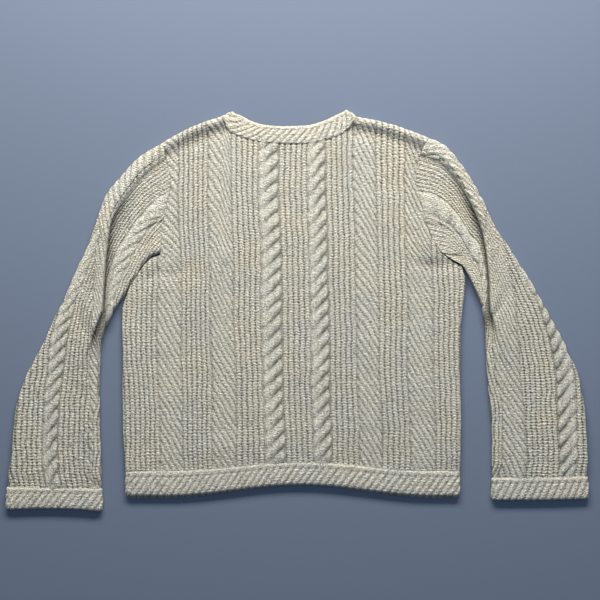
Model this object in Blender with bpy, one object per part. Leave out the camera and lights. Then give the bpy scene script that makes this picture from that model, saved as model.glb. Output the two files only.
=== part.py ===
"""Cable knit sweater, laid flat on its front with the back up.

Every length here is in millimetres and turned to metres when a mesh is made. +X is to
the right as one looks down on the back, +Y is towards the neck and +Z is up. The garment
rests on Z = 0, and its origin is under the middle of its outline.

The front lies on the surface, the back lies on the front, and each sleeve is a flattened
tube whose upper side is laid in one long fold beside the shoulder. The neckband, hem band
and cuffs are bands of firmer knitting that go all round their openings.
"""

import math

import bmesh
import bpy
import numpy as np

MM = 0.001
WALL = 4.0  # thickness of the knitted cloth
BAND_WALL = 4.6  # thickness of the neckband, hem band and cuffs
SEAM = 0.3  # space between pieces, side by side or one on the other
LAYER = WALL + SEAM  # from one layer of cloth to the next
BACK_BASE = WALL + SEAM  # the back's lower face
FOLD_RADIUS = 5.0  # how far in from a folded edge the cloth rounds away
EDGE_SHARE = 0.25  # the share of the wall that is left at the very edge of a fold
WOOL = (0.56, 0.53, 0.45, 1.0)
WOOL_BAND = (0.60, 0.57, 0.49, 1.0)

# Hem: the bands' lower edges and the seams above them rise in one low arch at the middle.
HEM_LEFT, HEM_RIGHT = -244.0, 232.0
HEM_SEAM_Y, BACK_HEM_Y, FRONT_HEM_Y = -227.0, -261.0, -264.0
ARCH_MIDDLE, ARCH_REACH = 5.0, 190.0
SEAM_ARCH, BACK_ARCH, FRONT_ARCH = 12.0, 16.0, 18.0

# Side edges of the body, from the hem up to the armpit.
SIDE_COLUMNS = ("x", "y")
LEFT_SIDE = (
    (-244, -226), (-247, -170), (-248, -110), (-248, -50), (-248, 2), (-246, 16),
    (-240, 28), (-228, 47), (-216, 66), (-205, 76), (-195, 80),
)
RIGHT_SIDE = (
    (232, -226), (234, -170), (233, -110), (232, -40), (236, 10), (240, 36), (240, 50),
    (236, 61),
)

SIDE_SHARES = (0, 0.18, 0.36, 0.54, 0.70, 0.80, 0.87, 0.92, 0.96, 1)
SIDE_STEPS = len(SIDE_SHARES)
SIDE_REACH = 5
SHOULDER_SHARES = (0, 0.05, 0.2, 0.45, 0.72, 1)
SHOULDER_CROWN = 4.0  # how far a shoulder edge bows up between armhole and neck

# Neckband. Free edge and sewn edge, from the left shoulder to the right one. The front's
# first and last rows are the back's, where the band turns over the shoulders.
NECK_COLUMNS = ("free_x", "free_y", "sewn_x", "sewn_y")
BACK_NECK = (
    (-88, 283, -104, 275), (-79, 280, -95, 260), (-66, 273, -82, 252),
    (-46, 267, -54, 245), (-18, 265, -20, 242), (12, 266, 12, 242),
    (34, 271, 42, 248), (52, 279, 64, 256), (67, 286, 82, 275),
)
FRONT_NECK = (
    (-88, 283, -104, 275), (-76, 262, -97, 250), (-62, 242, -83, 226),
    (-42, 226, -58, 206), (-11, 217, -11, 194), (20, 226, 36, 206),
    (40, 242, 62, 226), (54, 262, 75, 250), (67, 286, 82, 275),
)
NECK_STEPS = 11

# Sleeves, from the armhole to the cuff. Each row is a section across the flattened tube,
# from its outer folded edge to its inner one. bow is how far the section bends towards the
# body. fold_at is how far from the outer edge the upper side's long fold lies; fold_turn is
# the angle the cloth turns down there, 180 where it goes right back under itself; and
# fold_flat is the length of cloth between that turn and the turn that brings it level again.
SLEEVE_COLUMNS = (
    "outer_x", "outer_y", "inner_x", "inner_y", "bow", "fold_at", "fold_turn", "fold_flat",
)
LEFT_SLEEVE = (
    (-190, 242, -194, 85, 13, 26, 20, 5),
    (-223, 221, -207, 80, 8, 28, 32, 4),
    (-248, 195, -218, 69, 4, 29, 60, 2),
    (-273, 163, -230, 50, 1, 31, 115, 1),
    (-285, 128, -243, 29, 0, 41, 180, 5),
    (-297, 96, -258, 5, 0, 60, 180, 12),
    (-313, 57, -272, -22, 0, 78, 180, 8),
    (-326, 28, -278, -45, 0, 76, 115, 1),
    (-341, -2, -280, -66, 0, 76, 60, 2),
    (-359, -42, -281, -92, 0, 78, 25, 5),
    (-384, -90, -281, -124, 0, 84, 12, 5),
    (-399, -136, -281, -160, 0, 90, 10, 5),
    (-405, -195, -279, -203, 0, 96, 10, 5),
    (-413, -250, -277, -252, 0, 104, 10, 5),
)
RIGHT_SLEEVE = (
    (188, 248, 234, 69, 34, 24, 20, 5),
    (208, 238, 239, 62, 23, 26, 32, 4),
    (229, 215, 244, 52, 12, 26, 60, 2),
    (249, 185, 250, 39, 5, 30, 115, 1),
    (266, 154, 256, 26, 1, 38, 180, 5),
    (283, 121, 262, 12, 0, 62, 180, 11),
    (304, 89, 266, -6, 0, 82, 180, 6),
    (316, 68, 267, -20, 0, 84, 115, 1),
    (331, 45, 268, -36, 0, 86, 60, 2),
    (357, -4, 270, -67, 0, 88, 25, 5),
    (383, -51, 272, -100, 0, 92, 12, 5),
    (403, -102, 275, -136, 0, 98, 10, 5),
    (411, -167, 278, -181, 0, 104, 10, 5),
    (414, -235, 277, -237, 0, 106, 10, 5),
)
ARMPIT_DROP = {"left": (0.0, 0.0, 0.0), "right": (3.0, 3.0, 0.5)}
FOLD_BEND = LAYER / 2  # radius of the middle of the wall where it turns at a full fold
FOLD_CLEAR = 12.0  # least distance from the fold to the inner edge's turn
SLACK_BEND = 3.0  # and how many times more than that where it hardly turns
# How the armhole bows: shares of its length from the shoulder, and of its whole bow.
ARMHOLE_SHARES = (0, 0.01, 0.03, 0.07, 0.15, 0.24, 0.33, 0.42, 0.52, 0.63, 0.75, 0.86, 0.95, 1)
ARMHOLE_BOW = {
    "left": ((0, 0), (0.24, 0.65), (0.38, 1), (0.48, 0.77), (0.65, 0.35), (0.85, 0.1), (1, 0)),
    "right": ((0, 0), (0.07, 0.4), (0.32, 1), (0.63, 1), (0.87, 0.74), (1, 0)),
}
SLEEVE_EDGE_PUFF = 3.0  # how much fuller a sleeve is along its folded edges
SLEEVE_PUFF_REACH = 18.0
# Shares of a sleeve's length at which a ring of points goes round it.
SLEEVE_RINGS = (
    0, 0.012, 0.035, 0.075, 0.13, 0.19, 0.25, 0.31, 0.37, 0.43, 0.5, 0.59, 0.71, 0.85, 1,
)
EDGE_TURN = WALL / 2 + (LAYER + SLEEVE_EDGE_PUFF) / 2  # how far in a folded edge's turn ends
LEFT_CUFF = (31.0, 3.0)  # depth of the cuff, and the hollow of its lower edge
RIGHT_CUFF = (30.0, -1.0)
CUFF_FLARE = 1.5

# Swells of the back: where each one lies, its half widths along and across, its turn in
# degrees and its height.
SWELL_COLUMNS = ("x", "y", "half_long", "half_wide", "turn", "height")
BACK_SWELLS = (
    (-150, 257, 60, 8, 22, 3.0),
    (140, 257, 60, 8, -20, 3.0),
    (-236, -80, 150, 12, 88, 1.6),
    (224, -80, 150, 12, 91, 1.6),
    (-120, 60, 90, 34, 70, 1.2),
    (95, -60, 110, 36, 98, 1.1),
    (196, 96, 40, 14, 130, 2.2),
    (-40, -190, 80, 22, 4, 1.4),
)


def monotone(knots, values, at):
    """A smooth curve through the values that never swings past them between two knots."""
    knots, values, at = (np.asarray(a, float) for a in (knots, values, at))
    step = np.diff(knots)
    slope = np.diff(values) / step
    before, after = slope[:-1], slope[1:]
    same_way = before * after > 0
    mean = 2 * before * after / np.where(same_way, before + after, 1.0)
    tangent = np.concatenate([slope[:1], np.where(same_way, mean, 0.0), slope[-1:]])
    i = np.clip(np.searchsorted(knots, at) - 1, 0, len(step) - 1)
    t = (at - knots[i]) / step[i]
    return (
        values[i] * (1 + 2 * t) * (1 - t) ** 2
        + step[i] * tangent[i] * t * (1 - t) ** 2
        + values[i + 1] * t * t * (3 - 2 * t)
        - step[i] * tangent[i + 1] * t * t * (1 - t)
    )


def ease(t):
    t = np.clip(t, 0.0, 1.0)
    return t * t * (3 - 2 * t)


def along(points):
    """Distances along a line of points, from 0 at the first to 1 at the last."""
    d = np.linalg.norm(np.diff(points, axis=0), axis=1)
    return np.concatenate([[0.0], np.cumsum(d)]) / d.sum()


def resample(points, at, measured=slice(0, 2)):
    """Rows of a table at shares of the length of the line that two of its columns make."""
    points = np.asarray(points, float)
    knots = along(points[:, measured])
    return np.stack([monotone(knots, column, at) for column in points.T], axis=1)


def arch(x):
    """The hem's arch, 1 at its middle and 0 where it ends."""
    away = np.clip(np.abs(x - ARCH_MIDDLE) / ARCH_REACH, 0, 1)
    return 0.5 * (1 + np.cos(math.pi * away))


def hem_seam(x):
    return HEM_SEAM_Y + SEAM_ARCH * arch(x)


# ---------------------------------------------------------------- sleeves


def sleeve_table(rows, at):
    """Every column of a sleeve's table at shares of its length, by name.

    first_bow is the bow at the armhole.
    """
    rows = np.asarray(rows, float)
    middle = (rows[:, 0:2] + rows[:, 2:4]) / 2
    table = {
        name: monotone(along(middle), rows[:, k], at)
        for k, name in enumerate(SLEEVE_COLUMNS)
    }
    table["first_bow"] = np.full(len(at), rows[0, 4])
    return table


def section_line(section, share, side):
    """Plan points of a section at shares of its width, bent towards the body by its bow.

    The bend is a chain of short straight lines, so the body's armhole can follow it exactly.
    """
    outer = np.array([section["outer_x"], section["outer_y"]])
    inner = np.array([section["inner_x"], section["inner_y"]])
    chord = inner - outer
    across = chord / np.linalg.norm(chord)
    to_body = np.array([-across[1], across[0]]) * (1 if side == "left" else -1)
    knots, bows = np.array(ARMHOLE_BOW[side], float).T
    bends = monotone(knots, bows, ARMHOLE_SHARES)
    like_hole = (section["bow"] / section["first_bow"]) ** 3
    even = np.sin(math.pi * np.array(ARMHOLE_SHARES))
    bends = bends * like_hole + even * (1 - like_hole)
    bend = section["bow"] * np.interp(share, ARMHOLE_SHARES, bends)
    return outer + np.outer(share, chord) + np.outer(bend, to_body)


def ring_path(width, fold_at, fold_turn, fold_flat, top_shares, bottom_shares):
    """Middle line of the wall round one section, as (distance from the outer edge, height).

    It runs over the top from the outer edge to the long fold, where it turns down, goes
    straight and turns level again; then on to the inner edge, round it and back underneath.
    """
    low, top = WALL / 2, WALL / 2 + LAYER
    half = (LAYER + SLEEVE_EDGE_PUFF) / 2
    start, stop = EDGE_TURN, width - EDGE_TURN

    def puff(a):
        near = np.exp(-(((a - start) / SLEEVE_PUFF_REACH) ** 2))
        far = np.exp(-(((a - stop) / SLEEVE_PUFF_REACH) ** 2))
        return SLEEVE_EDGE_PUFF * np.clip(near + far, 0, 1)

    angle = math.radians(fold_turn)
    bend = FOLD_BEND * (1 + SLACK_BEND * max(0, 1 - fold_turn / 90))
    steps = np.linspace(0, angle, 4)
    first = bend * np.column_stack([np.sin(steps), np.cos(steps) - 1])
    level = first[-1] + fold_flat * np.array([math.cos(angle), -math.sin(angle)])
    back = steps[::-1]
    second = level + bend * np.column_stack(
        [math.sin(angle) - np.sin(back), math.cos(angle) - np.cos(back)]
    )
    fold = np.concatenate([first, second])
    lip = min(fold_at - bend, stop - FOLD_CLEAR - max(fold[-1, 0], bend))
    foot = lip + fold[-1, 0]
    base = float(puff(max(lip, foot)))
    rise = base - fold[-1, 1] - float(puff(lip))
    fold = fold + np.array([lip, top + float(puff(lip)) + rise])
    turn = np.linspace(0, math.pi, 5)[1:-1]
    edge = low + half
    outer_turn = np.column_stack([start - half * np.sin(turn), edge - half * np.cos(turn)])
    level_from = min(lip, foot) - 3
    a = start + (level_from - start) * np.array([0, 0.35, 0.7, 1])
    bulk = puff(a) + rise * ease((a - start) / (level_from - start))
    bulk[-1] = puff(lip) + rise
    flap = np.column_stack([a, top + bulk])
    a = foot + (stop - foot) * top_shares
    inner_top = np.column_stack([a, top + np.maximum(puff(a), base)])
    inner_turn = np.column_stack([stop + half * np.sin(turn), edge + half * np.cos(turn)])
    a = start + (stop - start) * bottom_shares
    bottom = np.column_stack([a, np.full(len(a), low)])
    return np.concatenate([outer_turn, flap, fold, inner_top, inner_turn, bottom])


def offset_ring(path):
    """The wall's outer and inner faces, half a wall to each side of its middle line."""
    run = np.roll(path, -1, axis=0) - path
    run /= np.linalg.norm(run, axis=1)[:, None]
    run = run + np.roll(run, 1, axis=0)
    run /= np.linalg.norm(run, axis=1)[:, None]
    out = np.column_stack([-run[:, 1], run[:, 0]])
    return path + out * WALL / 2, path - out * WALL / 2


def shares_between(low, high, width):
    """Armhole shares of a section that lie between two distances, as shares of that gap."""
    at = np.array(ARMHOLE_SHARES) * width
    inside = at[(at > low + 3) & (at < high - 4)]
    return np.concatenate([(inside - low) / (high - low), [1.0]])


def make_sleeve(name, rows, side):
    """A sleeve: a wall round each section of its table, from the armhole to the cuff."""
    table = sleeve_table(rows, SLEEVE_RINGS)
    widths = np.hypot(
        table["inner_x"] - table["outer_x"], table["inner_y"] - table["outer_y"]
    )
    foot = table["fold_at"][0] + table["fold_flat"][0]
    top_shares = shares_between(foot, widths[0] - EDGE_TURN, widths[0])
    bottom_shares = shares_between(EDGE_TURN, widths[0] - EDGE_TURN, widths[0])
    bottom_shares = np.concatenate([[0.0], bottom_shares])[::-1]
    outer_rings, inner_rings = [], []
    for i, width in enumerate(widths):
        section = {column: float(values[i]) for column, values in table.items()}
        fold = (section["fold_at"], section["fold_turn"], section["fold_flat"])
        path = ring_path(width, *fold, top_shares, bottom_shares)
        for face, rings in zip(offset_ring(path), (outer_rings, inner_rings)):
            plan = section_line(section, face[:, 0] / width, side)
            rings.append(np.column_stack([plan, np.maximum(face[:, 1], 0.0)]))
    return make_tube(name, np.array(outer_rings), np.array(inner_rings), WOOL)


def make_tube(name, outer, inner, colour):
    """A tube wall between rings of its outer face and rings of its inner face."""
    mesh = bmesh.new()
    sections, count = outer.shape[:2]
    grid = [[[mesh.verts.new(p) for p in ring] for ring in face] for face in (outer, inner)]
    for s in range(sections - 1):
        for i in range(count):
            j = (i + 1) % count
            o, n = grid[0], grid[1]
            mesh.faces.new((o[s][i], o[s][j], o[s + 1][j], o[s + 1][i]))
            mesh.faces.new((n[s][i], n[s + 1][i], n[s + 1][j], n[s][j]))
    for s in (0, sections - 1):
        for i in range(count):
            j = (i + 1) % count
            mesh.faces.new((grid[0][s][i], grid[0][s][j], grid[1][s][j], grid[1][s][i]))
    return finish(name, mesh, colour)


# ---------------------------------------------------------------- bands


def make_band(name, back, front, height, front_wall=BAND_WALL):
    """A band that goes all round a flattened opening.

    back and front are rows of (edge x, edge y, other edge x, other edge y), both from left
    to right. The band lies along the back row, turns down over a folded end, comes back
    along the front row and turns up at its other end.
    """
    back, front = np.asarray(back, float), np.asarray(front, float)[::-1]
    sections = [section_of(row, height, height - BAND_WALL) for row in back]
    sections += turn_of(back[-1], front[0], height, BAND_WALL, front_wall, 1)
    sections += [section_of(row, 0.0, front_wall) for row in front]
    sections += turn_of(front[-1], back[0], height, front_wall, BAND_WALL, -1)
    mesh = bmesh.new()
    rings = [[mesh.verts.new(p) for p in corners] for corners in sections]
    for s, ring in enumerate(rings):
        after = rings[(s + 1) % len(rings)]
        for i in range(4):
            j = (i + 1) % 4
            mesh.faces.new((ring[i], ring[j], after[j], after[i]))
    return finish(name, mesh, WOOL_BAND)


def section_of(row, outer_z, inner_z):
    """Four corners of a band's section: edge and other edge on its outer and inner face."""
    ax, ay, bx, by = row
    return [(ax, ay, outer_z), (bx, by, outer_z), (bx, by, inner_z), (ax, ay, inner_z)]


def turn_of(row, next_row, height, wall, next_wall, way):
    """Sections round a band's folded end, from its high side to its low one or back.

    way is 1 from high to low and -1 from low to high.
    """
    steps = 5
    edge = row[2:4] - row[0:2]
    out = np.array([-edge[1], edge[0]]) / np.linalg.norm(edge)
    if out[0] * way < 0:
        out = -out
    found = []
    for i in range(1, steps):
        share = i / steps
        t = math.pi * share
        here = row * (1 - share) + next_row * share
        a, b, high = here[0:2], here[2:4], math.cos(t) * way
        thick = wall * (1 - share) + next_wall * share
        outer, inner = height / 2, height / 2 - thick
        found.append([
            (*(a + out * outer * math.sin(t)), height / 2 + outer * high),
            (*(b + out * outer * math.sin(t)), height / 2 + outer * high),
            (*(b + out * inner * math.sin(t)), height / 2 + inner * high),
            (*(a + out * inner * math.sin(t)), height / 2 + inner * high),
        ])
    return found


def hem_rows(low_y, low_arch, height, count=15):
    """Rows of the hem band from left to right, seam edge first."""
    x = np.linspace(HEM_LEFT + height / 2, HEM_RIGHT - height / 2, count)
    return np.column_stack([x, hem_seam(x), x, low_y + low_arch * arch(x)])


def cuff_rows(rows, side, cuff, height, count=9):
    """Rows of a cuff across the end of its sleeve, seam edge first."""
    depth, hollow = cuff
    last = dict(zip(SLEEVE_COLUMNS, map(float, rows[-1])))
    outer = np.array([last["outer_x"], last["outer_y"]])
    inner = np.array([last["inner_x"], last["inner_y"]])
    across = (inner - outer) / np.linalg.norm(inner - outer)
    down = np.array([across[1], -across[0]]) * (1 if side == "left" else -1)
    width = float(np.linalg.norm(inner - outer))
    share = np.linspace(height / 2 / width, 1 - height / 2 / width, count)
    top = outer + np.outer(share * width, across) + down * SEAM
    low = top + np.outer(depth - SEAM - hollow * np.sin(math.pi * share), down)
    low += np.outer((share - 0.5) * 2 * CUFF_FLARE, across)
    rows = np.column_stack([top, low])
    return rows if side == "left" else rows[::-1]


def neck_rows(table):
    """The neckband's rows along one side, evenly spaced on its sewn edge."""
    return resample(table, np.linspace(0, 1, NECK_STEPS), measured=slice(2, 4))


# ---------------------------------------------------------------- body


def swell(x, y):
    """How far the back stands off the front, from its table of low swells."""
    total = np.zeros_like(x)
    for row in BACK_SWELLS:
        s = dict(zip(SWELL_COLUMNS, row))
        c, n = math.cos(math.radians(s["turn"])), math.sin(math.radians(s["turn"]))
        dx, dy = x - s["x"], y - s["y"]
        long, wide = (dx * c + dy * n) / s["half_long"], (dy * c - dx * n) / s["half_wide"]
        total += s["height"] * np.exp(-(long**2) - wide**2)
    return total


def moved_in(line, way):
    """A line of points moved a seam's width to its right, or with way -1 to its left."""
    run = np.gradient(line, axis=0)
    run /= np.linalg.norm(run, axis=1)[:, None]
    return line + np.column_stack([run[:, 1], -run[:, 0]]) * SEAM * way


def armhole(rows, side):
    """The body's armhole, from the armpit up, a seam's width inside the sleeve's end.

    Its first points are dropped clear of the sleeve's underarm.
    """
    section = dict(zip(SLEEVE_COLUMNS, map(float, rows[0])), first_bow=rows[0][4])
    line = section_line(section, np.array(ARMHOLE_SHARES)[::-1], side)
    line = moved_in(line, 1 if side == "left" else -1)
    line[:3, 1] -= np.array(ARMPIT_DROP[side])
    return line


def body_edges(neck):
    """A body panel's left and right edges from the hem up, and its bottom and top ones.

    Each shoulder runs on past the neck's end, to meet the end of the neckband's loop.
    """
    sides = []
    for low, rows, side in ((LEFT_SIDE, LEFT_SLEEVE, "left"), (RIGHT_SIDE, RIGHT_SLEEVE, "right")):
        low = np.array([(x, max(y, hem_seam(x) + SEAM)) for x, y in low], float)
        low = resample(low, SIDE_SHARES)
        sides.append((low, armhole(rows, side)))
    run = neck[[0, -1], 2:4] - neck[[0, -1], 0:2]
    beyond = np.column_stack([run[:, 1], -run[:, 0]]) / np.linalg.norm(run, axis=1)[:, None]
    beyond *= np.array([[1], [-1]]) * (BAND_WALL - SEAM / 2)
    neck = moved_in(neck[:, 2:4], 1)
    corners = neck[[0, -1]] + beyond
    share = np.array(SHOULDER_SHARES)
    crown = SHOULDER_CROWN * np.sin(math.pi * share)
    left = sides[0][1][-1] * (1 - share[:, None]) + corners[0] * share[:, None]
    right = sides[1][1][-1] * (1 - share[:, None]) + corners[1] * share[:, None]
    left[:, 1] += crown
    right[:, 1] += crown
    top = np.concatenate([left, neck, right[::-1]])
    left, right = (np.concatenate(side) for side in sides)
    x = left[0, 0] + (right[0, 0] - left[0, 0]) * along(top)
    bottom = np.column_stack([x, hem_seam(x) + SEAM])
    return left, right, bottom, top


def fold_distance(points, left, right, top):
    """How far each point lies from the nearest folded edge: the sides and the shoulders."""
    shoulder = len(SHOULDER_SHARES)
    best = np.full(len(points), 1e9)
    for line in (left[:SIDE_STEPS], right[:SIDE_STEPS], top[:shoulder], top[-shoulder:]):
        for a, b in zip(line[:-1], line[1:]):
            run = b - a
            t = np.clip((points - a) @ run / (run @ run), 0, 1)
            away = np.linalg.norm(points - a - t[:, None] * run, axis=1)
            best = np.minimum(best, away)
    return best


def make_panel(name, neck, is_back):
    """A body panel: a patch blended from its four edges, made into a wall.

    It is ruled from the bottom edge to the top one, and the sides' bends are added to that,
    dying away from each side as a power of the distance.
    The wall rounds away at the folded sides and shoulders.
    """
    left, right, bottom, top = body_edges(neck)
    u = along(top)[None, :, None]
    v = ((along(left) + along(right)) / 2)[:, None, None]
    plan = (1 - v) * bottom[None] + v * top[None]
    left_gap = left[:, None] - plan[:, :1]
    right_gap = right[:, None] - plan[:, -1:]
    plan = plan + left_gap * (1 - u) ** SIDE_REACH + right_gap * u**SIDE_REACH
    flat = plan.reshape(-1, 2)
    inset = np.clip(fold_distance(flat, left, right, top) / FOLD_RADIUS, 0, 1)
    full = EDGE_SHARE + (1 - EDGE_SHARE) * np.sqrt(1 - (1 - inset) ** 2)
    x, y = flat[:, 0], flat[:, 1]
    if is_back:
        lift = swell(x, y)
        low, high = BACK_BASE + lift, BACK_BASE + lift + WALL * full
    else:
        low, high = WALL * (1 - full), np.full(len(x), WALL)
    faces = [np.column_stack([flat, z]).reshape(*plan.shape[:2], 3) for z in (high, low)]
    return make_slab(name, *faces)


def make_slab(name, upper, lower):
    """A closed slab between two grids of points."""
    mesh = bmesh.new()
    top = [[mesh.verts.new(p) for p in row] for row in upper]
    low = [[mesh.verts.new(p) for p in row] for row in lower]
    rows, columns = upper.shape[:2]
    for i in range(rows - 1):
        for j in range(columns - 1):
            mesh.faces.new((top[i][j], top[i][j + 1], top[i + 1][j + 1], top[i + 1][j]))
            mesh.faces.new((low[i][j], low[i + 1][j], low[i + 1][j + 1], low[i][j + 1]))
    ring = (
        [(0, j) for j in range(columns)]
        + [(i, columns - 1) for i in range(1, rows)]
        + [(rows - 1, j) for j in range(columns - 2, -1, -1)]
        + [(i, 0) for i in range(rows - 2, 0, -1)]
    )
    for (a, b), (c, d) in zip(ring, ring[1:] + ring[:1]):
        mesh.faces.new((top[a][b], low[a][b], low[c][d], top[c][d]))
    return finish(name, mesh, WOOL)


# ---------------------------------------------------------------- objects


def wool(name, colour):
    material = bpy.data.materials.get(name) or bpy.data.materials.new(name)
    material.use_nodes = True
    shader = material.node_tree.nodes["Principled BSDF"]
    shader.inputs["Base Color"].default_value = colour
    shader.inputs["Roughness"].default_value = 0.95
    shader.inputs["Metallic"].default_value = 0.0
    return material


def finish(name, mesh, colour):
    """An object in metres from a mesh in millimetres, with its faces pointing out."""
    bmesh.ops.scale(mesh, vec=(MM, MM, MM), verts=mesh.verts)
    bmesh.ops.triangulate(mesh, faces=mesh.faces)
    bmesh.ops.recalc_face_normals(mesh, faces=mesh.faces)
    data = bpy.data.meshes.new(name)
    mesh.to_mesh(data)
    mesh.free()
    data.shade_smooth()
    data.set_sharp_from_angle(angle=math.radians(50))
    data.materials.append(wool(f"wool_{'band' if colour == WOOL_BAND else 'knit'}", colour))
    thing = bpy.data.objects.new(name, data)
    bpy.context.scene.collection.objects.link(thing)
    return thing


def clear_scene():
    for thing in list(bpy.data.objects):
        bpy.data.objects.remove(thing)


def main():
    clear_scene()
    band_height = 2 * BAND_WALL + SEAM
    back_neck, front_neck = neck_rows(BACK_NECK), neck_rows(FRONT_NECK)
    make_panel("front", front_neck, is_back=False)
    make_panel("back", back_neck, is_back=True)
    make_sleeve("sleeve_left", LEFT_SLEEVE, "left")
    make_sleeve("sleeve_right", RIGHT_SLEEVE, "right")
    make_band("neckband", back_neck, front_neck, band_height, front_wall=WALL)
    make_band(
        "hem_band",
        hem_rows(BACK_HEM_Y, BACK_ARCH, band_height),
        hem_rows(FRONT_HEM_Y, FRONT_ARCH, band_height),
        band_height,
    )
    for side, rows, cuff in (
        ("left", LEFT_SLEEVE, LEFT_CUFF), ("right", RIGHT_SLEEVE, RIGHT_CUFF),
    ):
        across = cuff_rows(rows, side, cuff, band_height)
        make_band(f"cuff_{side}", across, across, band_height)


main()
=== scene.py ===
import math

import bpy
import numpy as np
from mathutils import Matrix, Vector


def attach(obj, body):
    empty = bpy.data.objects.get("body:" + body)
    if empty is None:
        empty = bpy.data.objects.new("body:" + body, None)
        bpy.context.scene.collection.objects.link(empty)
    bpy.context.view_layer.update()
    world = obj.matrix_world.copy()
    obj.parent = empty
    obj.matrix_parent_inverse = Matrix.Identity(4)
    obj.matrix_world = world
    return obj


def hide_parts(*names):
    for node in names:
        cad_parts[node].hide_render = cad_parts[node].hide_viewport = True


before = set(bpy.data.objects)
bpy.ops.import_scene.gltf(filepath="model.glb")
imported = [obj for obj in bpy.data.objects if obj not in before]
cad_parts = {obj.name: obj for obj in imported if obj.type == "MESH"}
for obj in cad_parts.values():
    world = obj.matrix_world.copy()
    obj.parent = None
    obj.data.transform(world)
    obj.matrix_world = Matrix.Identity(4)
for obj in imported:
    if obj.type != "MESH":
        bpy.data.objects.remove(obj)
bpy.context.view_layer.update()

# Looks of a cable knit sweater laid flat on its front, with the back up. Each knitted piece
# is a closed shell on its solid's form, with its wales, cables and ridges raised in the
# mesh. Lengths here are millimetres and turn to metres when a mesh is made.

MM = 0.001
WALL, BAND_WALL, SEAM = 4.0, 4.6, 0.3
LAYER = WALL + SEAM  # from the underside of one layer of cloth to that of the next
BAND_HEIGHT = 2 * BAND_WALL + SEAM
WALE, ROW = 7.4, 4.24  # the knitting's own width and height of one stitch
CABLE_TURN = 23.0  # height of one crossing of a cable
# Ridges of the slanting columns: steepness, rise from one to the next, height, and how
# far the stitches show on them.
SLANTS = {
    "diagonal": (1.75, 15.0, 1.4, 0.45), "left_flap": (1.4, 12.5, 1.2, 0.30),
    "right_flap": (1.5, 19.0, 3.0, 0.10),
}
ROPE_PITCH = 10.0  # from one ridge to the next on the neckband, hem band and cuffs
RELIEF_FADE = 12.0  # length over which the knitting sinks to meet the hem band or a cuff

# -------- shape of the pieces

# The hem's ends, the heights of its seam and its lower edges, and how far each arches.
HEM_LEFT, HEM_RIGHT = -244.0, 232.0
HEM_SEAM_Y, BACK_HEM_Y, FRONT_HEM_Y = -227.0, -261.0, -264.0
ARCH_MIDDLE, ARCH_REACH = 5.0, 190.0
SEAM_ARCH, BACK_ARCH, FRONT_ARCH = 12.0, 16.0, 18.0
# Shares of a side's length and of a shoulder's at which their edges are set.
SIDE_SHARES = (0, 0.18, 0.36, 0.54, 0.70, 0.80, 0.87, 0.92, 0.96, 1)
SIDE_REACH = 5  # power that keeps the side edges' bends near those edges
SHOULDER_SHARES = (0, 0.05, 0.2, 0.45, 0.72, 1)
SHOULDER_CROWN = 4.0
# A ridge along each shoulder and the trough beside it, which is also painted in shade: height,
# distance in, half width.
SHOULDER_RIDGE, SHOULDER_TROUGH = (3.4, 6.0, 6.5), (2.4, 20.0, 6.5)
FOLD_ROUND = 6.5  # how far in from a folded edge of the body its shell rounds away
EDGE_LEFT = 0.30  # share of the wall left at the very edge

# Side edges of the body, from the hem up to the armpit: x, y.
LEFT_SIDE = (
    (-244, -226), (-247, -170), (-248, -110), (-248, -50), (-249, 2), (-247, 17),
    (-242, 29), (-230, 48.5), (-218, 67.5), (-206.5, 78), (-195, 81.5),
)
RIGHT_SIDE = (
    (232, -226), (234, -170), (233, -110), (232, -40), (236, 10), (240, 36), (240, 50),
    (236, 61),
)
# Neckband from the left shoulder to the right one: free x, free y, sewn x, sewn y.
BACK_NECK = (
    (-88, 283, -104, 275), (-79, 280, -95, 260), (-66, 273, -82, 252),
    (-46, 267, -54, 245), (-18, 265, -20, 242), (12, 266, 12, 242),
    (34, 271, 42, 248), (52, 279, 64, 256), (67, 286, 82, 275),
)
FRONT_NECK = (
    (-88, 283, -104, 275), (-76, 262, -97, 250), (-62, 242, -83, 226),
    (-42, 226, -58, 206), (-11, 217, -11, 194), (20, 226, 36, 206),
    (40, 242, 62, 226), (54, 262, 75, 250), (67, 286, 82, 275),
)

WAY = {"left": 1, "right": -1}  # sense of turning on each side
# Sleeves, a row for each section across the flattened tube. knit_at is where the knitting
# changes from the outer columns to the inner ones, measured as fold_at is.
SLEEVE_COLUMNS = (
    "outer_x", "outer_y", "inner_x", "inner_y", "bow", "fold_at", "fold_turn", "fold_flat",
    "knit_at",
)
LEFT_SLEEVE = (
    (-190, 242, -194, 85, 13, 26, 20, 5, 26),
    (-223, 221, -207, 80, 8, 28, 32, 4, 28),
    (-248, 195, -218, 69, 4, 29, 60, 2, 29),
    (-273, 163, -230, 50, 1, 31, 115, 1, 33),
    (-285, 128, -243, 29, 0, 41, 180, 5, 43),
    (-297, 96, -258, 5, 0, 60, 180, 12, 62),
    (-313, 57, -272, -22, 0, 78, 180, 8, 82),
    (-326, 28, -278, -45, 0, 76, 115, 1, 86),
    (-341, -2, -280, -66, 0, 76, 60, 2, 92),
    (-359, -42, -281, -92, 0, 78, 25, 5, 100),
    (-384, -90, -281, -124, 0, 84, 12, 5, 108),
    (-399, -136, -281, -160, 0, 90, 10, 5, 114),
    (-405, -195, -279, -203, 0, 96, 10, 5, 118),
    (-413, -250, -277, -252, 0, 104, 10, 5, 124),
)
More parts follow.
